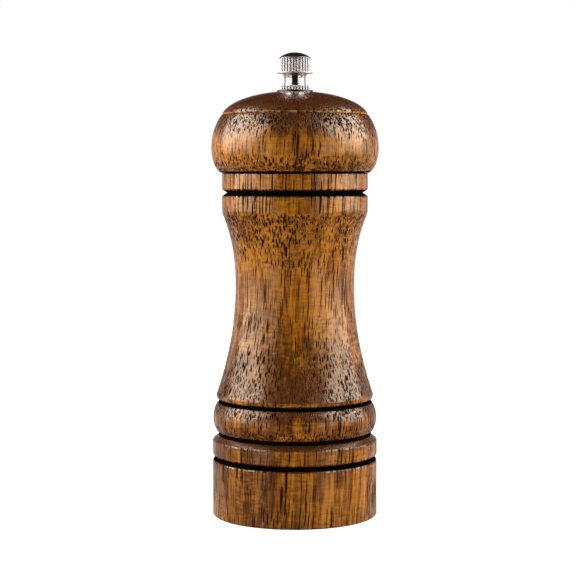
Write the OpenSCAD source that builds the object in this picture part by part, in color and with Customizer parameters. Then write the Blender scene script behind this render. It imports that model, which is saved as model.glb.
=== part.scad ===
// Wooden pepper mill, 154 mm tall, with a ceramic grinding mechanism.
//
// The body is a turned wooden tube that holds the peppercorns. A mechanism of two ceramic burrs
// is screwed into the recess under it. A square shaft runs from the inner burr up through the
// body and the turned cap. Its threaded end takes the knurled knob, which holds the cap down and
// sets the grind. The drive plate under the cap turns the shaft.
//
// Units are millimetres. The origin is the centre of the foot, on the table, and +Z is up.
// The mill is drawn at its coarsest setting: the clip on the shaft stops against the bush.

/* [Wooden body] */
// Diameter of the foot
base_d = 55; // [54:0.5:58]
// Diameter of the narrowest place of the waist
waist_d = 39.5; // [38:0.5:44]
// Diameter of the collar under the cap
collar_d = 48.4; // [47:0.1:50]
// Height of the body, from the table to its top face
body_h = 114.1; // [113:0.1:116]
// Diameter of the chamber for the peppercorns
chamber_d = 28; // [26:0.5:29]
// Diameter of the mouth that the cap plugs
mouth_d = 31; // [30.6:0.1:34]

/* [Cap] */
// Largest diameter of the cap
cap_d = 55.5; // [54:0.5:58]
// Height of the cap above the joint with the body
cap_h = 26.7; // [26:0.1:30]
// Gap between the body's top face and the cap
cap_gap = 0.05; // [0.05:0.05:0.3]

/* [Knob] */
// Diameter over the knurled head
knob_d = 10; // [9:0.1:11]
// Diameter of the narrow neck
knob_neck_d = 7; // [6.8:0.1:8]
// Number of flutes in the knurl
knurl_count = 30; // [20:1:34]
// Major diameter of the shaft's thread
thread_d = 5; // [4:0.5:5]

/* [Mechanism] */
// Depth of the open recess below the mechanism's flange
recess_depth = 6.5; // [5.5:0.1:7]
// Side of the square shaft
shaft_side = 6; // [5:0.5:6]
// Lift of the inner burr from the coarsest to the finest grind
burr_travel = 1.6; // [1:0.1:1.8]
// Wire diameter of the spring
wire_d = 0.9; // [0.7:0.1:1]
// Number of turns of the spring
spring_turns = 4; // [3:0.5:4]

/* [Hidden] */
$fn = 96;

wood = [0.50, 0.31, 0.13];
wood_top = [0.46, 0.27, 0.11];
steel = [0.72, 0.73, 0.75];
chrome = [0.82, 0.82, 0.84];
nylon = [0.10, 0.10, 0.11];
ceramic = [0.93, 0.92, 0.88];

eps = 0.01;

// Clearances
run_gap = 0.08;     // between parts that turn or slide in each other
fit_gap = 0.05;     // between parts that are pressed or screwed together
face_gap = 0.05;    // between flat faces of parts that move apart
finest_gap = 0.3;   // between the two burrs at the finest grind

// Wooden body, from the table up
base_r = base_d / 2;
collar_r = collar_d / 2;
waist_r = waist_d / 2;
chamber_r = chamber_d / 2;
mouth_r = mouth_d / 2;
edge = 0.4;                  // eased edge of turned wood
foot_groove_z = 19.5;        // middle of the groove above the foot
band_groove_z = 27.2;        // groove between the band and the bead
bead_groove_z = 38.5;        // groove between the bead and the flare
flare_z = 40.5;              // where the flare's lip ends and its curve starts
flare_r = base_r - 1.3;
waist_z = 76;
shoulder_z = 100;            // where the waist's curve meets the shoulder
shoulder_top_z = 102.2;
shoulder_r = collar_r - 0.43;
collar_groove_z = 107.6;
groove_half = 1.0;           // half the width of a V groove
groove_deep = 1.7;
lower_power = 1.87;          // how the waist's curve opens towards the foot
upper_power = 2.4;           // and towards the shoulder
curve_steps = 22;
mouth_depth = 11.9;
step_r = collar_r - 1;        // low step under the cap: it keeps dust and light out of the joint
step_h = 0.5;

// Mechanism, from the table up
flange_t = 2;
flange_z = recess_depth;
flange_r = 22;
recess_r = flange_r + 0.3;
housing_r = 17.8;
housing_bore_r = 15.7;
housing_top_z = flange_z + 17.5;
lip_r = 14.2;
lip_top_z = flange_z + 1.4;
mechanism_bore_r = housing_r + 0.2;
bridge_t = 2;
bridge_top_z = housing_top_z + bridge_t;
mechanism_bore_top_z = bridge_top_z + 0.2;
screw_circle_r = 20.2;
screw_count = 3;
screw_shank_r = 1.1;
screw_head_r = 2.1;
screw_head_h = 1.5;
screw_len = 10;

// Outer burr
outer_burr_z = lip_top_z + 0.1;
outer_burr_h = 11.5;
outer_burr_r = housing_bore_r - 0.1;
fine_slope = 0.364;          // radius lost per millimetre of height in the fine zone
fine_h = 3;
outer_top_r = 13.9;
outer_tooth_count = 32;

// Inner burr, at its lowest
inner_burr_z = flange_z + 0.7;
inner_burr_h = 10.4;
inner_fine_h = 3.4;
inner_bottom_r = 13.4;
inner_neck_r = inner_bottom_r - inner_fine_h * fine_slope;
inner_top_r = 9;
inner_burr_top_z = inner_burr_z + inner_burr_h;
burr_overlap = outer_burr_z - inner_burr_z;
outer_bottom_r = inner_bottom_r + finest_gap + (burr_travel - burr_overlap) * fine_slope;
outer_neck_r = outer_bottom_r - fine_h * fine_slope;
pocket_r = 7.4;
pocket_depth = 3;
pocket_z = inner_burr_top_z - pocket_depth;
crack_slots = 9;
inner_tooth_count = 30;

// Carrier, washer and screw under the inner burr
carrier_hex_r = 5.7;
carrier_flange_r = 9;
carrier_flange_t = 1.15;
carrier_z = inner_burr_z - carrier_flange_t;
burr_washer_t = 0.9;
burr_washer_r = 4.6;
burr_washer_z = carrier_z - burr_washer_t;
burr_screw_r = 1.5;
burr_screw_head_r = 3.2;
burr_screw_head_h = 1.9;
burr_screw_len = 9;

// Bridge and bush above the burrs
hub_r = 7.9;
hub_bore_r = 5.6;
hub_z = housing_top_z - 0.8;
arm_w = 3.6;
arm_count = 3;
skirt_r = outer_burr_r - 0.1;
skirt_bore_r = 13.9;
bush_flange_r = 7.4;
bush_flange_t = 1.7;
bush_z = hub_z - run_gap - bush_flange_t;
bush_top_z = bridge_top_z + 0.4;
socket_side = shaft_side + 2 * run_gap;

// Spring between the burr and the bush
spring_r = 5.9;              // to the middle of the wire
spring_washer_t = 0.5;
spring_washer_r = 7.1;
spring_bottom_z = pocket_z + spring_washer_t + 2 * fit_gap;
spring_top_z = bush_z - face_gap;
wire_sides = 8;
steps_per_turn = 24;

// Clip on the shaft, and the washer it rests on
clip_washer_z = bush_top_z + face_gap;
clip_washer_r = 6.3;
clip_washer_bore_r = 4.5;
clip_washer_t = 0.5;
clip_z = clip_washer_z + clip_washer_t + face_gap;
clip_t = 0.7;
clip_r = 5.8;
clip_groove_r = 2.7;
clip_mouth = 4.2;

// Cap
cap_r = cap_d / 2;
cap_z = body_h + cap_gap;
cap_top_z = cap_z + cap_h;
plug_r = mouth_r - 0.4;
plug_len = 8.1;
plug_z = cap_z - plug_len;
cap_belly_z = cap_z + 8.3;   // height of the largest diameter
belly_low_w = 4.4;           // half axes of the belly's curve, below the largest diameter
belly_low_h = 8.6;
belly_high_w = 13.2;         // and above it
cap_line_z = cap_top_z - 7.2; // the fine turned line round the dome
belly_high_h = (cap_line_z - cap_belly_z) * 1.43;
dome_r = cap_r - 3.3;        // half axes of the dome's curve
dome_h = 9.1;
cap_seat_r = 6.4;            // flat for the knob's washer
cap_bore_r = 4.7;
cap_thread_bore_r = 3.2;
cap_bore_top_z = cap_top_z - 12;

// Drive plate and its screws
plate_r = 13.5;
plate_t = 1.5;
plate_z = plug_z - plate_t;
plate_screw_count = 2;
plate_screw_circle_r = 9.5;
plate_screw_r = 1.4;
plate_screw_head_r = 2.6;
plate_screw_head_h = 1.5;
plate_screw_len = 9.5;

// Shaft
shaft_z = carrier_z + 0.3;
shaft_square_top_z = cap_bore_top_z - 3;
thread_r = thread_d / 2 - 0.05;
tap_r = burr_screw_r + run_gap;
tap_depth = 9.2;

// Knob and its washer
washer_r = 5.9;
washer_t = 0.5;
washer_bore_r = 2.9;
washer_z = cap_top_z + face_gap;
knob_z = washer_z + washer_t + face_gap;
shaft_top_z = knob_z + 7.4;
knob_r = knob_d / 2;
knob_neck_r = knob_neck_d / 2;
knob_collar_h = 1.4;
knob_head_z = knob_z + 5.55;
knob_rim_r = knob_r + 0.9;
knob_rim_t = 0.25;
knob_bevel = 0.65;           // under the head
knob_dome_z = knob_head_z + 5.05;
knob_dome_r = knob_r + 0.3;
knob_dome_h = 1.8;
knob_bore_depth = 9.5;
knurl_deep = 0.28;

// Points on an arc round c, from angle a0 to angle a1
function arc(c, r, a0, a1, steps) =
    [for (i = [0 : steps]) let (a = a0 + (a1 - a0) * i / steps) c + r * [cos(a), sin(a)]];

// Points on an elliptical arc with half axes a and b
function oval(c, a, b, a0, a1, steps) =
    [for (i = [0 : steps]) let (t = a0 + (a1 - a0) * i / steps) c + [a * cos(t), b * sin(t)]];

// A V groove cut into a wall of radius r at height z, with eased lips
function groove(r, z, half, deep) = [
    [r, z - half - edge], [r - 0.2, z - half], [r - deep, z], [r - 0.2, z + half], [r, z + half + edge]
];

// Radius of the waist's curve at height z
function waist_curve(z) =
    z < waist_z
    ? waist_r + (flare_r - waist_r) * pow((waist_z - z) / (waist_z - flare_z), lower_power)
    : waist_r + (shoulder_r - waist_r) * pow((z - waist_z) / (shoulder_z - waist_z), upper_power);

shoulder_angle = atan(upper_power * (shoulder_r - waist_r) / (shoulder_z - waist_z));
shoulder_arc_r = (shoulder_top_z - shoulder_z) / sin(shoulder_angle);

// Outline of the turned outside of the body, from the table to the top face
body_outside = concat(
    [[base_r - edge, 0], [base_r, edge]],
    groove(base_r, foot_groove_z, groove_half - 0.1, groove_deep),
    [[base_r, band_groove_z - 2.1], [base_r - 0.2, band_groove_z - 1.7], [base_r - 2.4, band_groove_z]],
    oval([base_r - 4, (band_groove_z + bead_groove_z) / 2], 3.85,
        (bead_groove_z - band_groove_z) / 2 + 0.4, -62, 62, 16),
    [[base_r - 3.2, bead_groove_z]],
    [[flare_r - 0.5, bead_groove_z + 0.5], [flare_r - 0.1, bead_groove_z + 1]],
    [for (i = [0 : curve_steps])
        let (z = flare_z + (waist_z - flare_z) * i / curve_steps) [waist_curve(z), z]],
    [for (i = [1 : curve_steps])
        let (z = waist_z + (shoulder_z - waist_z) * i / curve_steps) [waist_curve(z), z]],
    arc([collar_r - shoulder_arc_r, shoulder_top_z], shoulder_arc_r, -shoulder_angle * 0.9, 0, 6),
    groove(collar_r, collar_groove_z, groove_half, groove_deep),
    [[collar_r, body_h - edge / 2], [collar_r - edge / 2, body_h]]
);

// Outline of the bores inside the body, from the top face down to the table
body_inside = [
    [step_r, body_h], [step_r, body_h + step_h],
    [mouth_r + edge, body_h + step_h], [mouth_r, body_h + step_h - edge],
    [mouth_r, body_h - mouth_depth], [chamber_r, body_h - mouth_depth - 1.5],
    [chamber_r, mechanism_bore_top_z], [mechanism_bore_r, mechanism_bore_top_z],
    [mechanism_bore_r, flange_z + flange_t], [recess_r, flange_z + flange_t],
    [recess_r, edge], [recess_r + edge, 0]
];

// Outline of the cap's outside, from the joint up to the seat of the knob
belly_foot = asin((cap_belly_z - cap_z) / belly_low_h);
belly_brow = asin((cap_line_z - edge - cap_belly_z) / belly_high_h);
dome_mid_z = cap_top_z + 0.3 - dome_h;
cap_outside = concat(
    oval([cap_r - belly_low_w, cap_belly_z], belly_low_w, belly_low_h, -belly_foot, 0, 14),
    oval([cap_r - belly_high_w, cap_belly_z], belly_high_w, belly_high_h, 4, belly_brow, 12),
    [[dome_r - 0.7, cap_line_z - 0.1]],
    oval([0, dome_mid_z], dome_r, dome_h, 11, 74, 22),
    [[cap_seat_r, cap_top_z]]
);

// A solid turned from a closed outline
module turned(outline) {
    rotate_extrude() polygon(outline);
}

// A tube with a plain bore
module tube(r, bore, h) {
    difference() {
        cylinder(r = r, h = h);
        translate([0, 0, -eps]) cylinder(r = bore, h = h + 2 * eps);
    }
}

// Copies its child n times round the axis, on a circle of radius r
module around(n, r = 0, start = 0) {
    for (i = [0 : n - 1])
        rotate([0, 0, start + i * 360 / n]) translate([r, 0, 0]) children();
}

// The square bar that cuts a socket for the shaft
module socket(h) {
    translate([-socket_side / 2, -socket_side / 2, -eps])
        cube([socket_side, socket_side, h + 2 * eps]);
}

// Pan-head screw that points up, with its head's top face at z = 0
module screw(shank_r, head_r, head_h, len) {
    difference() {
        union() {
            translate([0, 0, -head_h]) cylinder(r1 = head_r * 0.72, r2 = head_r, h = head_h * 0.45);
            translate([0, 0, -head_h * 0.55]) cylinder(r = head_r, h = head_h * 0.55);
            translate([0, 0, -eps]) cylinder(r = shank_r, h = len - 1.5 + eps);
            translate([0, 0, len - 1.5]) cylinder(r1 = shank_r, r2 = 0.3, h = 1.5);
        }
        for (turn = [0, 90])
            rotate([0, 0, turn]) translate([-head_r * 0.6, -0.3, -head_h - eps])
                cube([head_r * 1.2, 0.6, head_h * 0.6]);
    }
}

// Straight knurl: a band of flutes cut into a cylinder
module knurled(r, h) {
    difference() {
        cylinder(r = r, h = h);
        around(knurl_count, r) translate([0, 0, -eps])
            rotate([0, 0, 45]) translate([-knurl_deep, -knurl_deep, 0])
                cube([2 * knurl_deep, 2 * knurl_deep, h + 2 * eps]);
    }
}

module body() {
    color(wood) difference() {
        turned(concat(body_outside, body_inside));
        around(screw_count, screw_circle_r) translate([0, 0, flange_z + flange_t - eps])
            cylinder(r = screw_shank_r + fit_gap, h = screw_len - flange_t + 1);
    }
}

module mechanism_housing() {
    color(nylon) difference() {
        union() {
            translate([0, 0, flange_z]) cylinder(r = flange_r, h = flange_t);
            translate([0, 0, flange_z]) cylinder(r = housing_r, h = housing_top_z - flange_z);
        }
        translate([0, 0, lip_top_z]) cylinder(r = housing_bore_r, h = housing_top_z);
        translate([0, 0, flange_z - eps]) cylinder(r = lip_r, h = flange_t);
        around(screw_count, screw_circle_r) translate([0, 0, flange_z - eps])
            cylinder(r = screw_shank_r + 0.2, h = flange_t + 1);
    }
}

module housing_screws() {
    color(steel) around(screw_count, screw_circle_r) translate([0, 0, flange_z - face_gap])
        screw(screw_shank_r, screw_head_r, screw_head_h, screw_len);
}

// Ceramic ring, with grooves down its inside that grip the corns
module outer_burr() {
    color(ceramic) translate([0, 0, outer_burr_z]) difference() {
        turned([
            [outer_bottom_r, 0], [outer_burr_r - 0.3, 0], [outer_burr_r, 0.3],
            [outer_burr_r, outer_burr_h], [outer_top_r + 0.4, outer_burr_h],
            [outer_top_r, outer_burr_h - 0.5], [outer_neck_r, fine_h]
        ]);
        around(outer_tooth_count, outer_bottom_r - 0.1) translate([0, 0, -eps])
            rotate([0, -atan(fine_slope) + 4, 0]) rotate([0, 0, 45]) translate([-0.3, -0.3, -1])
                cube([0.6, 0.6, fine_h + 2]);
        around(crack_slots, (outer_top_r + outer_neck_r) / 2 + 0.1, 12)
            translate([0, 0, outer_burr_h / 2 + 2])
                rotate([24, 0, 0]) rotate([0, 7, 0]) rotate([0, 0, 45]) cube([1.1, 1.1, 11], center = true);
    }
}

// Bridge with three arms: its hub carries the bush, and its skirt holds the outer burr down
module bearing_bridge() {
    color(nylon) {
        difference() {
            union() {
                translate([0, 0, housing_top_z + fit_gap]) tube(housing_r, skirt_bore_r, bridge_t - fit_gap);
                translate([0, 0, outer_burr_z + outer_burr_h + fit_gap])
                    tube(skirt_r, skirt_bore_r, bridge_top_z - outer_burr_z - outer_burr_h - 1);
                translate([0, 0, hub_z]) cylinder(r = hub_r, h = bridge_top_z - hub_z);
                around(arm_count, 0) translate([0, -arm_w / 2, hub_z])
                    cube([skirt_bore_r + 0.8, arm_w, bridge_top_z - hub_z]);
            }
            translate([0, 0, hub_z - eps]) cylinder(r = hub_bore_r, h = 2 * bridge_t + 2);
        }
    }
}

// Bush that turns in the bridge with the shaft, and takes the spring's thrust
module thrust_bush() {
    color([0.85, 0.83, 0.76]) difference() {
        union() {
            translate([0, 0, bush_z]) cylinder(r = bush_flange_r, h = bush_flange_t);
            translate([0, 0, bush_z]) cylinder(r = hub_bore_r - run_gap, h = bush_top_z - bush_z);
        }
        translate([0, 0, bush_z]) socket(bush_top_z - bush_z);
    }
}

// Height of the spring's wire after so many turns. The first and the last turn lie nearly flat.
function spring_height(turn) =
    let (
        flat = 0.75,
        rise = spring_top_z - spring_bottom_z - wire_d,
        climb = (turn - flat) / (spring_turns - 2 * flat)
    ) spring_bottom_z + wire_d / 2 + rise * min(1, max(0, climb)) * 0.72
        + rise * 0.28 * turn / spring_turns;

// Compression spring, as a tube swept along its helix
module grind_spring() {
    steps = spring_turns * steps_per_turn;
    points = [
        for (i = [0 : steps], j = [0 : wire_sides - 1])
        let (
            turn = i / steps_per_turn,
            a = turn * 360,
            t = (j + 0.5) * 360 / wire_sides,
            r = spring_r + wire_d / 2 * cos(t)
        ) [r * cos(a), r * sin(a), spring_height(turn) + wire_d / 2 * sin(t)]
    ];
    sides = [
        for (i = [0 : steps - 1], j = [0 : wire_sides - 1])
        let (a = i * wire_sides + j, b = i * wire_sides + (j + 1) % wire_sides)
        [a, b, b + wire_sides, a + wire_sides]
    ];
    start = [for (j = [wire_sides - 1 : -1 : 0]) j];
    end = [for (j = [0 : wire_sides - 1]) steps * wire_sides + j];
    color(steel) polyhedron(points, concat([start], sides, [end]));
}

module spring_washer() {
    color(steel) translate([0, 0, pocket_z + fit_gap]) tube(spring_washer_r, 4.6, spring_washer_t);
}

// Square shaft with a round threaded end, a clip groove and a tapped foot
module drive_shaft() {
    color(steel) difference() {
        union() {
            translate([-shaft_side / 2, -shaft_side / 2, shaft_z])
                cube([shaft_side, shaft_side, shaft_square_top_z - shaft_z]);
            translate([0, 0, shaft_square_top_z - 1])
                cylinder(r = thread_r, h = shaft_top_z - shaft_square_top_z + 0.5);
            translate([0, 0, shaft_top_z - 0.5]) cylinder(r1 = thread_r, r2 = thread_r - 0.5, h = 0.5);
        }
        translate([0, 0, shaft_z - eps]) cylinder(r = tap_r, h = tap_depth);
        translate([0, 0, clip_z - face_gap / 2]) tube(shaft_side, clip_groove_r, clip_t + face_gap);
    }
}

module clip_washer() {
    color(steel) translate([0, 0, clip_washer_z]) tube(clip_washer_r, clip_washer_bore_r, clip_washer_t);
}

module shaft_clip() {
    color(steel) translate([0, 0, clip_z]) difference() {
        tube(clip_r, clip_groove_r + fit_gap, clip_t);
        translate([0, -clip_mouth / 2, -eps]) cube([clip_r + 1, clip_mouth, clip_t + 2 * eps]);
        around(3, 4.1, 90) translate([0, 0, -eps]) cylinder(r = 0.8, h = clip_t + 2 * eps);
    }
}

// Ceramic cone, with slanted slots that crack the corns and fine teeth round its foot
module inner_burr() {
    color(ceramic) translate([0, 0, inner_burr_z]) difference() {
        turned([
            [0, 0], [inner_bottom_r - 0.3, 0], [inner_bottom_r, 0.3 * fine_slope],
            [inner_neck_r, inner_fine_h], [inner_top_r + 0.3, inner_burr_h - 0.3],
            [inner_top_r - 0.2, inner_burr_h], [0, inner_burr_h]
        ]);
        translate([0, 0, -eps]) cylinder(r = carrier_hex_r + run_gap, h = inner_burr_h, $fn = 6);
        translate([0, 0, inner_burr_h - pocket_depth]) cylinder(r = pocket_r, h = pocket_depth + 1);
        around(inner_tooth_count, inner_bottom_r + 0.1)
            rotate([0, -atan(fine_slope) - 3, 0]) rotate([0, 0, 45]) translate([-0.3, -0.3, -1])
                cube([0.6, 0.6, inner_fine_h + 1.4]);
        around(crack_slots, (inner_top_r + inner_neck_r) / 2 + 0.3)
            translate([0, 0, (inner_burr_h + inner_fine_h) / 2 + 0.6])
                rotate([-28, 0, 0]) rotate([0, -24, 0]) rotate([0, 0, 45]) cube([1.5, 1.5, 9], center = true);
    }
}

// Nylon carrier: its hexagon drives the inner burr and its square socket fits the shaft
module burr_carrier() {
    color(nylon) difference() {
        union() {
            translate([0, 0, carrier_z]) cylinder(r = carrier_flange_r, h = carrier_flange_t - fit_gap);
            translate([0, 0, carrier_z])
                cylinder(r = carrier_hex_r, h = pocket_z - carrier_z - fit_gap, $fn = 6);
        }
        translate([0, 0, carrier_z]) socket(pocket_z - carrier_z);
    }
}

module burr_washer() {
    color(steel) translate([0, 0, burr_washer_z])
        tube(burr_washer_r, burr_screw_r + 0.2, burr_washer_t - fit_gap);
}

module burr_screw() {
    color(steel) translate([0, 0, burr_washer_z - fit_gap])
        screw(burr_screw_r, burr_screw_head_r, burr_screw_head_h, burr_screw_len);
}

// Turned cap: a belly with a fine line round its dome, and a plug that centres it in the mouth
module cap() {
    color(wood_top) difference() {
        turned(concat(
            cap_outside,
            [
                [cap_thread_bore_r, cap_top_z], [cap_thread_bore_r, cap_bore_top_z],
                [cap_bore_r, cap_bore_top_z], [cap_bore_r, plug_z],
                [plug_r - edge, plug_z], [plug_r, plug_z + edge], [plug_r, cap_z + step_h],
                [step_r + 2 * run_gap, cap_z + step_h], [step_r + 2 * run_gap, cap_z]
            ]
        ));
        around(plate_screw_count, plate_screw_circle_r) translate([0, 0, plug_z - eps])
            cylinder(r = plate_screw_r + fit_gap, h = plate_screw_len - plate_t + 1);
    }
}

module drive_plate() {
    color(steel) translate([0, 0, plate_z]) difference() {
        cylinder(r = plate_r, h = plate_t);
        socket(plate_t);
        around(plate_screw_count, plate_screw_circle_r) translate([0, 0, -eps])
            cylinder(r = plate_screw_r + 0.2, h = plate_t + 2 * eps);
    }
}

module drive_plate_screws() {
    color(steel) around(plate_screw_count, plate_screw_circle_r) translate([0, 0, plate_z - fit_gap])
        screw(plate_screw_r, plate_screw_head_r, plate_screw_head_h, plate_screw_len);
}

module knob_washer() {
    color(chrome) translate([0, 0, washer_z]) tube(washer_r, washer_bore_r, washer_t);
}

// Knurled nut: a knurled collar, a narrow neck and a knurled head with a rim and a dome
module top_knob() {
    dome_ball_r = (knob_dome_r * knob_dome_r + knob_dome_h * knob_dome_h) / (2 * knob_dome_h);
    dome_angle = asin(knob_dome_r / dome_ball_r);
    color(chrome) difference() {
        union() {
            translate([0, 0, knob_z]) knurled(knob_r, knob_collar_h);
            turned(concat(
                [[0, knob_z + 0.2], [knob_neck_r + 0.3, knob_z + 0.2]],
                oval([knob_neck_r + 0.3, knob_z + knob_collar_h + 0.8], 0.3, 0.7, 260, 190, 5),
                oval([knob_neck_r + 0.2, knob_head_z - 1.8], 0.2, 0.5, 180, 130, 4),
                [[knob_neck_r + 0.15, knob_head_z - knob_bevel - 0.3]],
                [[knob_neck_r + knob_bevel, knob_head_z - 0.2]],
                [[knob_rim_r, knob_head_z]],
                [[knob_rim_r, knob_head_z + knob_rim_t], [knob_neck_r, knob_head_z + knob_rim_t]],
                [[knob_neck_r, knob_dome_z - 0.1], [knob_dome_r, knob_dome_z - 0.1]],
                arc([0, knob_dome_z + knob_dome_h - dome_ball_r], dome_ball_r, 90 - dome_angle, 90, 12)
            ));
            translate([0, 0, knob_head_z + knob_rim_t - eps])
                knurled(knob_r, knob_dome_z - knob_head_z - knob_rim_t - 0.1 + 2 * eps);
        }
        translate([0, 0, knob_z - eps]) cylinder(r = thread_r + run_gap, h = knob_bore_depth);
    }
}

body();
mechanism_housing();
housing_screws();
outer_burr();
bearing_bridge();
thrust_bush();
clip_washer();
grind_spring();
spring_washer();
drive_shaft();
shaft_clip();
inner_burr();
burr_carrier();
burr_washer();
burr_screw();
cap();
drive_plate();
drive_plate_screws();
knob_washer();
top_knob();
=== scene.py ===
"""A wooden pepper mill on a pale floor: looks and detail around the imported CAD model."""

import math

import bmesh
import bpy
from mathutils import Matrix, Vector

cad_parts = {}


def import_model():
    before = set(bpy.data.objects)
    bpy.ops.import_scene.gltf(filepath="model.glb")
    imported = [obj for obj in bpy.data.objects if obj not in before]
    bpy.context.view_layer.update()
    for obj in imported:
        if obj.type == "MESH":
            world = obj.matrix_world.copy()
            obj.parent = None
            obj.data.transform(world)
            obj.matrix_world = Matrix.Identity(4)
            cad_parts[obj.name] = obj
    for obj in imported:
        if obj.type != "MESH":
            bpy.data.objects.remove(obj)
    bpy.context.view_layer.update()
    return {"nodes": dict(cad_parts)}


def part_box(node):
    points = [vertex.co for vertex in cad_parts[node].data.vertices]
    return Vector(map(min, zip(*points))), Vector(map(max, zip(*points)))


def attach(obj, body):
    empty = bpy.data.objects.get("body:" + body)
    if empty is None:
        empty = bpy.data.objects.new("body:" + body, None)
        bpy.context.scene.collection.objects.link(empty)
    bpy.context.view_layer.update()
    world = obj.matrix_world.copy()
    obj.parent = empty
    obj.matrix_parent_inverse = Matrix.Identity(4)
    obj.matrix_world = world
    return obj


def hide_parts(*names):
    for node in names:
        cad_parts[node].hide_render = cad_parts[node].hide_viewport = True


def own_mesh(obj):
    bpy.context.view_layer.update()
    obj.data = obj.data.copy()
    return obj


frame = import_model()

MM = 0.001


# ---------------------------------------------------------------- node helpers


class Shader:
    """Builds one procedural material, node by node."""

    def __init__(self, name):
        self.material = bpy.data.materials.new(name)
        self.material.use_nodes = True
        self.tree = self.material.node_tree
        self.tree.nodes.clear()
        self.surface = self.tree.nodes.new("ShaderNodeBsdfPrincipled")
        output = self.tree.nodes.new("ShaderNodeOutputMaterial")
        self.tree.links.new(self.surface.outputs["BSDF"], output.inputs["Surface"])

    def feed(self, socket, value):
        """Links a socket to a node's output, or sets it to a constant."""
        if isinstance(value, bpy.types.NodeSocket):
            self.tree.links.new(value, socket)
        else:
            socket.default_value = value

    def set(self, **values):
        """Sets the surface's inputs; underscores in a name stand for spaces."""
        for name, value in values.items():
            self.feed(self.surface.inputs[name.replace("_", " ")], value)

    def coords(self):
        """Position in metres in the mill's own frame."""
        return self.tree.nodes.new("ShaderNodeTexCoord").outputs["Object"]

    def facing(self):
        """The surface's direction in the mill's own frame."""
        return self.tree.nodes.new("ShaderNodeTexCoord").outputs["Normal"]

    def mapping(self, vector, scale=(1, 1, 1), location=(0, 0, 0), rotation=(0, 0, 0)):
        node = self.tree.nodes.new("ShaderNodeMapping")
        self.feed(node.inputs["Vector"], vector)
        node.inputs["Location"].default_value = location
        node.inputs["Rotation"].default_value = rotation
        node.inputs["Scale"].default_value = scale
        return node.outputs["Vector"]

    def noise(self, vector, scale, detail=2.0, rough=0.5, warp=0.0, start=(0, 0, 0)):
        """Noise with one scale, or with a scale for each axis, in steps to the metre."""
        if isinstance(scale, tuple):
            vector, scale = self.mapping(vector, scale=scale, location=start), 1.0
        node = self.tree.nodes.new("ShaderNodeTexNoise")
        self.feed(node.inputs["Vector"], vector)
        node.inputs["Scale"].default_value = scale
        node.inputs["Detail"].default_value = detail
        node.inputs["Roughness"].default_value = rough
        node.inputs["Distortion"].default_value = warp
        return node.outputs["Fac"]

    def cells(self, vector, scale, start=(0, 0, 0)):
        """Distance to the middle of the nearest cell, in cells."""
        node = self.tree.nodes.new("ShaderNodeTexVoronoi")
        self.feed(node.inputs["Vector"], self.mapping(vector, scale=scale, location=start))
        node.inputs["Scale"].default_value = 1.0
        return node.outputs["Distance"]

    def math(self, operation, a, b=0.0):
        node = self.tree.nodes.new("ShaderNodeMath")
        node.operation = operation
        self.feed(node.inputs[0], a)
        self.feed(node.inputs[1], b)
        return node.outputs["Value"]

    def add(self, a, b):
        return self.math("ADD", a, b)

    def less(self, a, b):
        return self.math("SUBTRACT", a, b)

    def times(self, a, b):
        return self.math("MULTIPLY", a, b)

    def most(self, a, b):
        return self.math("MAXIMUM", a, b)

    def size(self, a):
        return self.math("ABSOLUTE", a)

    def span(self, value, low, high, to_low=0.0, to_high=1.0):
        """Smooth step from low to high."""
        node = self.tree.nodes.new("ShaderNodeMapRange")
        node.interpolation_type = "SMOOTHSTEP"
        self.feed(node.inputs["Value"], value)
        self.feed(node.inputs["From Min"], low)
        self.feed(node.inputs["From Max"], high)
        self.feed(node.inputs["To Min"], to_low)
        self.feed(node.inputs["To Max"], to_high)
        return node.outputs["Result"]

    def mix(self, share, a, b):
        """Colour a turning into colour b."""
        node = self.tree.nodes.new("ShaderNodeMix")
        node.data_type = "RGBA"
        self.feed(node.inputs["Factor"], share)
        for socket, value in ((node.inputs[6], a), (node.inputs[7], b)):
            linked = isinstance(value, bpy.types.NodeSocket)
            self.feed(socket, value if linked else (*value, 1.0))
        return node.outputs[2]

    def part(self, vector, axis):
        """One coordinate of a vector."""
        node = self.tree.nodes.new("ShaderNodeSeparateXYZ")
        self.feed(node.inputs["Vector"], vector)
        return node.outputs[axis]

    def length(self, vector):
        node = self.tree.nodes.new("ShaderNodeVectorMath")
        node.operation = "LENGTH"
        self.feed(node.inputs[0], vector)
        return node.outputs["Value"]

    def from_axis(self, place):
        """Distance from the mill's upright axis."""
        return self.length(self.mapping(place, scale=(1, 1, 0)))

    def shift(self, vector, by, amount, axes="XY"):
        """Moves a vector along some axes by a value, to make straight lines wander."""
        join = self.tree.nodes.new("ShaderNodeCombineXYZ")
        off = self.times(self.less(by, 0.5), amount)
        for axis in axes:
            self.feed(join.inputs[axis], off)
        add = self.tree.nodes.new("ShaderNodeVectorMath")
        add.operation = "ADD"
        self.feed(add.inputs[0], vector)
        self.feed(add.inputs[1], join.outputs["Vector"])
        return add.outputs["Vector"]

    def bump(self, height, distance, strength):
        node = self.tree.nodes.new("ShaderNodeBump")
        self.feed(node.inputs["Height"], height)
        node.inputs["Distance"].default_value = distance
        node.inputs["Strength"].default_value = strength
        return node.outputs["Normal"]


# ---------------------------------------------------------------- stained wood

GOLD = (0.415, 0.146, 0.004)
BROWN = (0.205, 0.066, 0.003)
DARK = (0.072, 0.017, 0.0006)
# worn stain, which also stands for a painted highlight on the cap line's edge
WORN_AND_HIGHLIGHT = (0.62, 0.300, 0.075)
PORE = (0.020, 0.006, 0.001)
# burnt groove floors, and also the painted shadow line at the cap line
BURNT_AND_SHADOW = (0.003, 0.002, 0.0015)

# The grain leans, and bends slowly and quickly: the size of each bend, and how far it pushes.
LEAN = (math.radians(1.6), math.radians(-2.2), 0)
SLOW_BEND, SLOW_PUSH = (40, 40, 40), 1.8 * MM
QUICK_BEND, QUICK_PUSH = (160, 160, 150), 0.3 * MM

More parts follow.
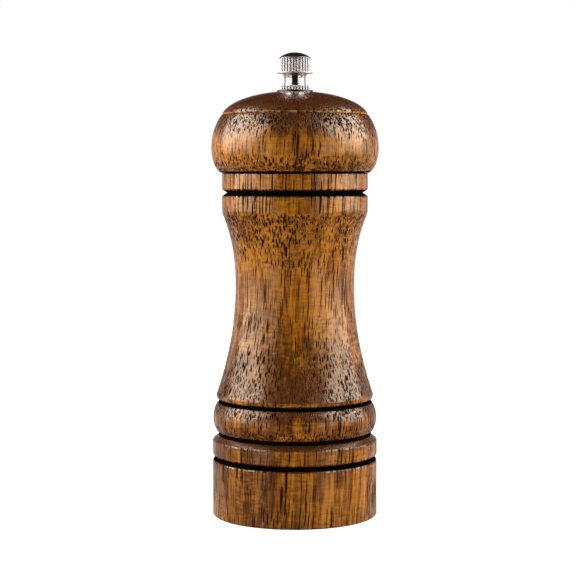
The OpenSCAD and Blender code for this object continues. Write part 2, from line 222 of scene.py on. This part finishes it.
# Scales of the grain's features across and along it, in steps to the metre
CROWDING = (170, 170, 60)
VESSELS = (1550, 1550, 52)
HAIRS = (2700, 2700, 90)
PATCHES = (62, 62, 38)
FIBRES = (900, 900, 45)
RIPPLES = (230, 230, 1250)
SILK = (90, 90, 60)
CHIPS_AND_GLINTS = (700, 700, 90)

PITH = (0.018, 0.047, 0)  # the heart of the tree, beside the mill
RING_GAP = 5.2 * MM
FOOT_DARK_HIGH, FOOT_DARK_LOW = 105 * MM, 30 * MM  # the wood darkens from one height to the other
BORE_REACH = 20 * MM  # the bores behind the grooves are narrower, and the grooves' floors wider


def open_pores(s, grain, rise, top):
    """Share of open pore. Long vessels are cut to streaks on the straight parts and to dots
    on the slopes."""
    slope = s.span(s.size(rise), 0.08, 0.45)
    crowd = s.noise(grain, CROWDING)
    wide = s.add(s.span(crowd, 0.32, 0.66, 0.19, 0.36), s.times(slope, 0.11))
    pore = s.span(s.cells(grain, VESSELS), wide, s.add(wide, 0.06), 1.0, 0.0)
    thin = s.cells(grain, HAIRS, start=(3.1, 7.7, 1.3))
    fine = s.add(0.20, s.times(slope, 0.15))
    hair = s.span(thin, fine, s.add(fine, 0.14), 0.75, 0.0)
    return s.times(s.most(pore, hair), s.span(top, 0.0, 1.0, 1.0, 0.5))


def stained_and_shaded_tone(s, grain, fibre, ripple, rise, top, height):
    """How light the stained wood is, with painted shade on faces that tilt up or down and on the
    top, from about -0.1 for dark to 1 for gold.
    """
    patches = s.noise(grain, PATCHES, detail=3.0, rough=0.55, warp=0.4)
    pith = s.mapping(grain, scale=(1, 1, 0.05), location=PITH)
    turn = s.times(s.length(pith), 2 * math.pi / RING_GAP)
    turn = s.add(turn, s.times(patches, 9.0))
    ring = s.span(s.math("SINE", turn), -1.0, 1.0)
    silk = s.noise(grain, SILK, start=(5.5, 1.2, 0.7))
    tone = s.span(patches, 0.32, 0.68, -0.04, 0.32)
    tone = s.add(tone, s.times(ring, 0.20))
    tone = s.add(tone, s.span(fibre, 0.34, 0.66, -0.12, 0.32))
    shine = s.times(s.span(ripple, 0.36, 0.64), s.span(silk, 0.35, 0.65, 0.20, 0.50))
    tone = s.add(tone, shine)
    # sloped faces are darker, partly because their end grain soaks up more stain and partly as
    # painted shade, most where they tilt up; the top gets more painted shade
    tone = s.less(tone, s.span(rise, 0.04, 0.42, 0.0, 0.64))
    tone = s.less(tone, s.times(top, 0.28))
    tone = s.less(tone, s.span(rise, -0.10, -0.80, 0.0, 0.20))
    # and the wood is darker towards the foot
    return s.less(tone, s.span(height, FOOT_DARK_HIGH, FOOT_DARK_LOW, -0.10, 0.12))


def bands(s, height, rings):
    """Share of a surface that lies within rings, each with a middle height and a half width."""
    share = 0.0
    for middle, half in rings:
        off = s.size(s.less(height, middle))
        share = s.most(share, s.span(off, half - 0.1 * MM, half + 0.15 * MM, 1.0, 0.0))
    return share


def wood(name, offset, burnt_and_shadow_rings, bright_rings=()):
    """Stained open-pored hardwood under satin lacquer. The grain is solid and runs along Z.

    The offset chooses which part of the tree the piece is cut from.
    """
    s = Shader(name)
    here = s.coords()
    straight = s.mapping(here, location=offset, rotation=LEAN)
    grain = s.shift(straight, s.noise(straight, SLOW_BEND), SLOW_PUSH)
    grain = s.shift(grain, s.noise(straight, QUICK_BEND), QUICK_PUSH)
    rise = s.part(s.facing(), "Z")
    top = s.span(rise, 0.50, 0.85)
    height = s.part(here, "Z")

    fibre = s.noise(grain, FIBRES, detail=4.0, rough=0.6)
    waves = s.shift(grain, s.noise(grain, 180), 2.5 * MM, "Z")
    ripple = s.noise(waves, RIPPLES, detail=3.0, rough=0.6)
    pores = open_pores(s, grain, rise, top)
    tone = stained_and_shaded_tone(s, grain, fibre, ripple, rise, top, height)
    colour = s.mix(s.span(tone, -0.1, 0.5), DARK, BROWN)
    colour = s.mix(s.span(tone, 0.30, 1.0), colour, GOLD)
    colour = s.mix(pores, colour, PORE)

    # rubbed edges, partly worn stain and partly a painted highlight, and dark rings: burnt
    # floors of the turned grooves, and on the cap a painted shadow line under an edge
    fray = s.times(s.less(s.noise(here, 900), 0.5), 0.5 * MM)
    frayed = s.add(height, fray)
    if bright_rings:
        chips_and_glints = s.span(s.noise(here, CHIPS_AND_GLINTS, detail=1.0), 0.38, 0.58)
        colour = s.mix(s.times(bands(s, frayed, bright_rings), chips_and_glints), colour, WORN_AND_HIGHLIGHT)
    outside = s.span(s.from_axis(here), BORE_REACH, BORE_REACH + 0.5 * MM)
    burn_and_shadow = s.times(bands(s, frayed, burnt_and_shadow_rings), outside)
    colour = s.mix(burn_and_shadow, colour, BURNT_AND_SHADOW)

    dull = s.most(pores, burn_and_shadow)
    relief = s.less(s.times(fibre, 0.15), pores)
    relief = s.add(relief, s.times(ripple, 0.22))
    s.set(
        Base_Color=colour,
        Roughness=s.most(s.span(fibre, 0.2, 0.8, 0.22, 0.34), s.times(dull, 0.9)),
        IOR=1.48,
        Specular_IOR_Level=s.span(dull, 0.0, 1.0, 0.5, 0.0),
        Specular_Tint=(1.0, 0.68, 0.28, 1.0),
        Coat_Weight=s.span(dull, 0.0, 1.0, 0.65, 0.0),
        Coat_Roughness=0.18,
        Coat_IOR=1.55,
        Normal=s.bump(relief, 0.08 * MM, 0.7),
        Coat_Normal=s.bump(relief, 0.03 * MM, 0.7),
    )
    return s.material


# ---------------------------------------------------------------- metal, plastic and ceramic


def darker(colour, share):
    return tuple(c * share for c in colour)


def metal(name, colour, rough, scratch=(1, 1, 1), tarnish=0.15):
    """Metal with fine scratches along one direction and a little uneven dullness."""
    s = Shader(name)
    here = s.coords()
    lines = s.noise(here, tuple(900 * k for k in scratch), detail=4.0, rough=0.65)
    dull = s.noise(here, 260, detail=3.0)
    s.set(
        Base_Color=s.mix(s.span(dull, 0.35, 0.75), colour, darker(colour, 1 - tarnish)),
        Metallic=1.0,
        Roughness=s.span(s.add(lines, dull), 0.6, 1.4, rough * 0.75, rough * 1.35),
        Normal=s.bump(lines, 0.01 * MM, 0.5),
    )
    return s.material


def plated(name, colour, bright, satin):
    """Chrome plate: bright on the smooth faces, and satin where the knurl breaks it up."""
    s = Shader(name)
    here = s.coords()
    knurl_reach, knurl_top = 4.40 * MM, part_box("top_knob")[1].z - 1.75 * MM
    knurl = s.span(s.from_axis(here), knurl_reach, knurl_reach + 0.2 * MM)
    below = s.span(s.part(here, "Z"), knurl_top - 0.1 * MM, knurl_top, 1.0, 0.0)
    knurl = s.times(knurl, below)
    smudge = s.noise(here, 420, detail=3.0)
    lines = s.noise(here, (500, 500, 5200), detail=3.0)
    tint = s.mix(s.span(smudge, 0.35, 0.75), colour, darker(colour, 0.86))
    s.set(
        Base_Color=s.mix(knurl, tint, darker(colour, 0.85)),
        Metallic=1.0,
        Roughness=s.add(s.span(knurl, 0.0, 1.0, bright, satin), s.times(smudge, 0.08)),
        Normal=s.bump(lines, 0.004 * MM, 0.4),
    )
    return s.material


def moulded(name, colour, rough, depth=0.03, fade=0.8, glow=0.0):
    """Moulded plastic or ceramic: fine surface grain and uneven tone."""
    s = Shader(name)
    here = s.coords()
    fine = s.noise(here, 1800, detail=3.0, rough=0.6)
    broad = s.noise(here, 120, detail=3.0)
    s.set(
        Base_Color=s.mix(s.span(broad, 0.3, 0.7), colour, darker(colour, fade)),
        Roughness=s.span(fine, 0.25, 0.75, rough * 0.85, rough * 1.15),
        Normal=s.bump(fine, depth * MM, 0.5),
    )
    if glow:
        s.set(Subsurface_Weight=glow, Subsurface_Scale=0.002)
    return s.material


# ---------------------------------------------------------------- looks of the CAD nodes


def dress(material, *nodes):
    """Puts a material on CAD nodes."""
    for node in nodes:
        for slot in frame["nodes"][node].material_slots:
            slot.material = material


# Middle height and half width of each turned groove
FOOT_GROOVE = (19.5 * MM, 0.85 * MM)
BAND_GROOVE = (27.6 * MM, 0.75 * MM)
BEAD_GROOVE = (38.45 * MM, 0.7 * MM)
COLLAR_GROOVE = (107.6 * MM, 1.0 * MM)
JOINT = 114.15 * MM  # height of the joint between body and cap

cap_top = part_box("cap")[1].z
cap_line = cap_top - 7.65 * MM
body_burns = [FOOT_GROOVE, BAND_GROOVE, BEAD_GROOVE, COLLAR_GROOVE, (JOINT, 0.35 * MM)]
# on the cap, the dark ring at the cap line is a painted shadow line under the dome's edge; the
# ring at the joint is burnt
cap_burns_and_shadow = [(cap_line, 0.05 * MM), (JOINT, 0.5 * MM)]
# the bright ring just above the cap line is partly worn stain and partly a painted highlight on
# the dome's edge
cap_worn_and_highlight = [(cap_line + 0.4 * MM, 0.22 * MM)]

dress(wood("wood_body_stained", (0.013, 0.021, 0.004), body_burns), "body")
dress(wood("wood_cap_stained", (0.051, -0.037, 0.033), cap_burns_and_shadow, cap_worn_and_highlight), "cap")
dress(plated("chrome_plate", (0.66, 0.64, 0.67), 0.12, 0.46), "top_knob")
# the washer is near-black steel: painted shade, standing in for the thin shadow line under the
# knob's collar
dress(metal("steel_painted_shade", (0.09, 0.085, 0.08), 0.35, tarnish=0.4), "knob_washer")
shaft_steel = metal("steel_drawn", (0.60, 0.60, 0.62), 0.24, scratch=(1, 1, 0.03))
dress(shaft_steel, "drive_shaft")
dress(metal("steel_rolled", (0.58, 0.58, 0.60), 0.28, scratch=(0.05, 1, 1)), "drive_plate")
zinc = metal("steel_zinc", (0.62, 0.63, 0.66), 0.22, tarnish=0.25)
dress(zinc, "housing_screws", "burr_screw", "drive_plate_screws")
dress(zinc, "burr_washer", "spring_washer", "clip_washer")
spring_steel = metal("steel_spring", (0.42, 0.42, 0.44), 0.2)
dress(spring_steel, "shaft_clip", "grind_spring")
nylon = moulded("nylon_black", (0.022, 0.022, 0.024), 0.42)
dress(nylon, "mechanism_housing", "bearing_bridge", "burr_carrier")
acetal = moulded("acetal_natural", (0.72, 0.70, 0.60), 0.35, fade=0.92, glow=0.2)
dress(acetal, "thrust_bush")
ceramic = moulded("ceramic_white", (0.83, 0.81, 0.75), 0.5, depth=0.05, fade=0.93, glow=0.1)
dress(ceramic, "outer_burr", "inner_burr")


# ---------------------------------------------------------------- threaded shaft and coil spring

AROUND = 64  # points round the shaft
PITCH = 0.8 * MM  # of the M5 thread
ROWS_A_TURN = 10
SEAM = 0.02 * MM  # how far the clip's groove is wider than the clip, on each side


def piece_from(name, points, faces, material, crease=32):
    """A closed mesh as a new object, smooth except along its sharp edges."""
    mesh = bpy.data.meshes.new(name)
    mesh.from_pydata(points, [], faces)
    work = bmesh.new()
    work.from_mesh(mesh)
    bmesh.ops.recalc_face_normals(work, faces=work.faces)
    work.to_mesh(mesh)
    work.free()
    mesh.shade_smooth()
    mesh.set_sharp_from_angle(angle=math.radians(crease))
    mesh.materials.append(material)
    piece = bpy.data.objects.new(name, mesh)
    bpy.context.scene.collection.objects.link(piece)
    return piece


def swept(rings):
    """Points and faces of a closed skin through rings of equal length."""
    count = len(rings[0])
    points = [p for ring in rings for p in ring]
    faces = [tuple(reversed(range(count))), tuple(range(len(points) - count, len(points)))]
    for i in range(len(rings) - 1):
        for j in range(count):
            a, b = i * count + j, i * count + (j + 1) % count
            faces.append((a, b, b + count, a + count))
    return points, faces


def shaft(material):
    """Square bar with a ring groove, a tapped foot, and a cut M5 thread on its round end."""
    low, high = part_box("drive_shaft")
    clip_low, clip_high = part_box("shaft_clip")
    half, root, crest = high.x, 1.98 * MM, 2.45 * MM
    shoulder, bevel, tip_bevel = cap_top - 15 * MM, 0.3 * MM, 0.5 * MM
    tap, tap_depth, groove = 1.6 * MM, 9.2 * MM, 2.7 * MM
    corner = 1.37  # the bar's rounded corners reach this many times its half side
    root_flat, flank = 0.12, 0.70  # shares of half the pitch

    def ring(z, radius):
        turns = [2 * math.pi * i / AROUND for i in range(AROUND)]
        return [(radius(t) * math.cos(t), radius(t) * math.sin(t), z) for t in turns]

    def disc(size):
        return lambda t: size

    def square(size):
        return lambda t: min(size / max(abs(math.cos(t)), abs(math.sin(t))), corner * size)

    def thread(z):
        def radius(t):
            phase = (z / PITCH - t / (2 * math.pi)) % 1.0
            up = (1 - abs(2 * phase - 1) - root_flat) / flank
            share = min(1.0, max(0.0, up)) * min(1.0, (z - shoulder) / PITCH)
            return min(root + (crest - root) * share, crest - tip_bevel + high.z - z)
        return radius

    rings = [ring(low.z + tap_depth, disc(tap)), ring(low.z + bevel, disc(tap))]
    rings += [ring(low.z, disc(tap + bevel)), ring(low.z, square(half - bevel))]
    rings += [ring(low.z + bevel, square(half))]
    rings += [ring(clip_low.z - SEAM, square(half)), ring(clip_low.z - SEAM, disc(groove))]
    rings += [ring(clip_high.z + SEAM, disc(groove)), ring(clip_high.z + SEAM, square(half))]
    rings += [ring(shoulder - bevel, square(half)), ring(shoulder, square(half - bevel))]
    rows = round((high.z - shoulder) / (PITCH / ROWS_A_TURN))
    for row in range(rows + 1):
        z = shoulder + (high.z - shoulder) * row / rows
        rings.append(ring(z, thread(z)))
    piece = piece_from("shaft_threaded", *swept(rings), material)
    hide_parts("drive_shaft")
    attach(piece, "spindle")


def spring(material):
    """Coil of round wire that lies flat at both ends and presses the burrs apart."""
    low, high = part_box("grind_spring")
    wire, coil, travel = 0.45 * MM, 5.9 * MM, 1.6 * MM
    turns, flat = 4, 0.75  # turns in all, and the flatter ones at each end
    steps, sides = 48, 16  # points to a turn, and round the wire
    open_climb, even_climb = 0.72, 0.28  # shares of the climb: between the ends, and all along
    climb = high.z - low.z - 2 * wire

    def height(turn):
        share = min(1.0, max(0.0, (turn - flat) / (turns - 2 * flat)))
        return low.z + wire + climb * (open_climb * share + even_climb * turn / turns)

    rings = []
    for i in range(turns * steps + 1):
        turn = i / steps
        a = 2 * math.pi * turn
        ring = []
        for j in range(sides):
            t = 2 * math.pi * j / sides
            r = coil + wire * math.cos(t)
            ring.append((r * math.cos(a), r * math.sin(a), height(turn) + wire * math.sin(t)))
        rings.append(ring)
    piece = piece_from("spring_coil", *swept(rings), material, crease=60)
    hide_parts("grind_spring")
    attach(piece, "bearing_bush")
    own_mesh(piece)


shaft(shaft_steel)
spring(spring_steel)


# ---------------------------------------------------------------- floor, light and camera

WARM = (1.0, 0.94, 0.86)


def floor():
    """A wide pale floor."""
    mesh = bpy.data.meshes.new("floor")
    work = bmesh.new()
    bmesh.ops.create_circle(work, cap_ends=True, radius=0.7, segments=96)
    work.to_mesh(mesh)
    work.free()
    piece = bpy.data.objects.new("floor", mesh)
    piece.location.z = -0.02 * MM
    bpy.context.scene.collection.objects.link(piece)
    s = Shader("floor_paper")
    speck = s.noise(s.coords(), 700)
    s.set(Base_Color=s.mix(speck, (0.88, 0.88, 0.88), (0.92, 0.92, 0.92)), Roughness=0.85)
    s.set(Emission_Color=(1, 1, 1, 1), Emission_Strength=0.45)
    mesh.materials.append(s.material)
    piece.visible_glossy = False


def towards(place, aim=(0, 0, 0.08)):
    """The turn that points a light or a card at the mill."""
    return (Vector(aim) - Vector(place)).to_track_quat("-Z", "Y").to_euler()


def diffuser(name, place, size, glare, foot=1.0):
    """A glowing card that only glossy faces see.

    It fades at its two sides and towards its top, and its foot glows at a share of the full
    glare.
    """
    x, y = (side / 2 for side in size)
    mesh = bpy.data.meshes.new(name)
    mesh.from_pydata([(-x, -y, 0), (x, -y, 0), (x, y, 0), (-x, y, 0)], [], [(0, 1, 2, 3)])
    card = bpy.data.objects.new(name, mesh)
    s = Shader(name)
    here = s.coords()
    across = s.span(s.size(s.part(here, "X")), 0.8 * x, x, 1.0, 0.0)
    height = s.part(here, "Y")
    upward = s.times(s.span(height, -y, 0.0, foot, 1.0), s.span(height, 0.4 * y, y, 1.0, 0.0))
    s.set(
        Base_Color=(0, 0, 0, 1),
        Specular_IOR_Level=0.0,
        Emission_Color=(*WARM, 1.0),
        Emission_Strength=s.times(s.times(across, upward), glare),
    )
    mesh.materials.append(s.material)
    card.visible_camera = card.visible_diffuse = card.visible_shadow = False
    card.visible_transmission = card.visible_volume_scatter = False
    card.location = place
    card.rotation_euler = towards(place)
    bpy.context.scene.collection.objects.link(card)


def softbox(name, place, size, power):
    """A soft light that points at the mill. Glossy faces see a card near its place instead."""
    light = bpy.data.lights.new(name, "AREA")
    light.shape = "RECTANGLE"
    light.size, light.size_y = size
    light.energy = power
    light.color = WARM
    lamp = bpy.data.objects.new(name, light)
    lamp.visible_glossy = False
    lamp.location = place
    lamp.rotation_euler = towards(place)
    bpy.context.scene.collection.objects.link(lamp)


def world(front, side, back, ceiling):
    """A studio that is dark in front and overhead, and paler at the sides and behind.

    The camera sees plain white.
    """
    surround = bpy.data.worlds.new("surround")
    surround.use_nodes = True
    nodes, links = surround.node_tree.nodes, surround.node_tree.links
    shade = nodes["Background"]
    shade.inputs["Color"].default_value = (1, 1, 1, 1)
    split = nodes.new("ShaderNodeSeparateXYZ")
    links.new(nodes.new("ShaderNodeTexCoord").outputs["Generated"], split.inputs["Vector"])

    def ramp(value, low, high, to_low, to_high):
        node = nodes.new("ShaderNodeMapRange")
        node.interpolation_type = "SMOOTHSTEP"
        links.new(value, node.inputs["Value"])
        ends = {"From Min": low, "From Max": high, "To Min": to_low, "To Max": to_high}
        for socket, end in ends.items():
            if isinstance(end, bpy.types.NodeSocket):
                links.new(end, node.inputs[socket])
            else:
                node.inputs[socket].default_value = end
        return node.outputs["Result"]

    across = nodes.new("ShaderNodeMath")
    across.operation = "ABSOLUTE"
    links.new(split.outputs["X"], across.inputs[0])
    walls = ramp(across.outputs["Value"], 0.42, 0.62, front, side)
    walls = ramp(split.outputs["Y"], -0.1, 0.7, walls, back)
    glow = ramp(split.outputs["Z"], 0.06, 0.34, walls, ceiling)
    plain = nodes.new("ShaderNodeMix")
    links.new(nodes.new("ShaderNodeLightPath").outputs["Is Camera Ray"], plain.inputs["Factor"])
    links.new(glow, plain.inputs["A"])
    plain.inputs["B"].default_value = 1.0
    links.new(plain.outputs["Result"], shade.inputs["Strength"])
    bpy.context.scene.world = surround


def camera():
    """Level with the cap and tipped down a little, as the mill was photographed."""
    view = bpy.data.cameras.new("camera")
    view.sensor_width = 36.0
    view.lens = 103.1
    eye = bpy.data.objects.new("camera", view)
    eye.location = (-2.3 * MM, -549 * MM, 114.4 * MM)
    eye.rotation_euler = (math.radians(90 - 4.02), 0, 0)
    bpy.context.scene.collection.objects.link(eye)
    bpy.context.scene.camera = eye


KEY, CARD, WING = (1.30, 1.1), (1.20, 1.2), (0.50, 0.5)  # widths and heights

floor()
world(front=0.008, side=0.08, back=0.42, ceiling=0.02)
softbox("key_left", (-0.75, 0.15, 0.50), KEY, power=19)
softbox("key_right", (0.75, 0.15, 0.50), KEY, power=18.5)
diffuser("card_left", (-0.77, -0.06, 0.50), CARD, glare=7.0, foot=0.30)
diffuser("card_right", (0.77, -0.06, 0.50), CARD, glare=6.6, foot=0.32)
diffuser("wing_left", (-0.67, -0.625, 0.12), WING, glare=1.5)
diffuser("wing_right", (0.67, -0.625, 0.12), WING, glare=1.5)
camera()
bpy.context.scene.view_settings.view_transform = "Standard"
